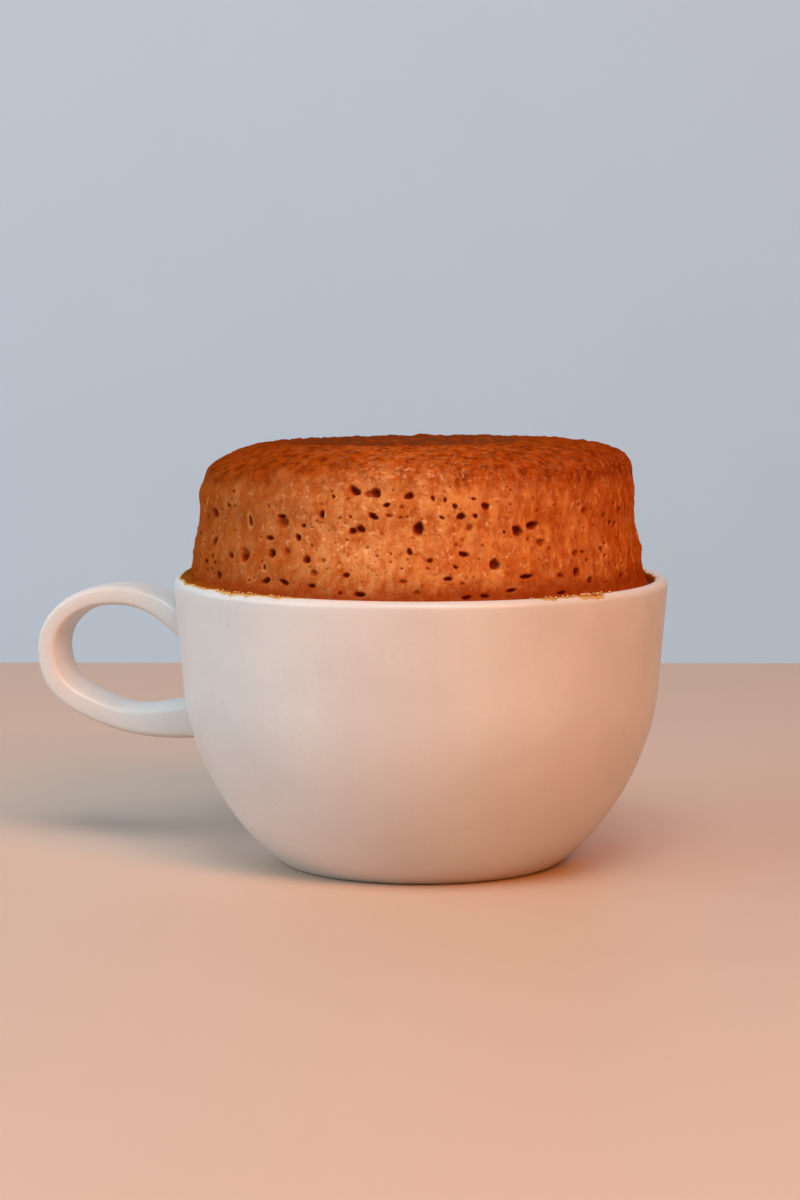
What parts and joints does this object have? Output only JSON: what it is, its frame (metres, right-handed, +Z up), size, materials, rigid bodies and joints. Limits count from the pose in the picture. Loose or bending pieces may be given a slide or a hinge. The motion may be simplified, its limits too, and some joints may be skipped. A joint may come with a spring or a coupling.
{
  "type": "mug cake",
  "caption": "Risen caramel-brown sponge cake baked in a wide, round-bellied glazed cup with a loop handle.",
  "frame": {"origin": "centre of the cup's flat foot, on the bowl's axis", "axes": "+Z up along the bowl's axis, handle towards -X"},
  "size_m": [0.1385, 0.1056, 0.0909],
  "materials": {
    "glaze": "satin warm-white glaze",
    "sponge": "moist, porous baked sponge, browner and glossier at the shoulder and on top"
  },
  "bodies": {
    "root": {"cup": "glaze", "cake": "sponge"}
  },
  "joints": []
}
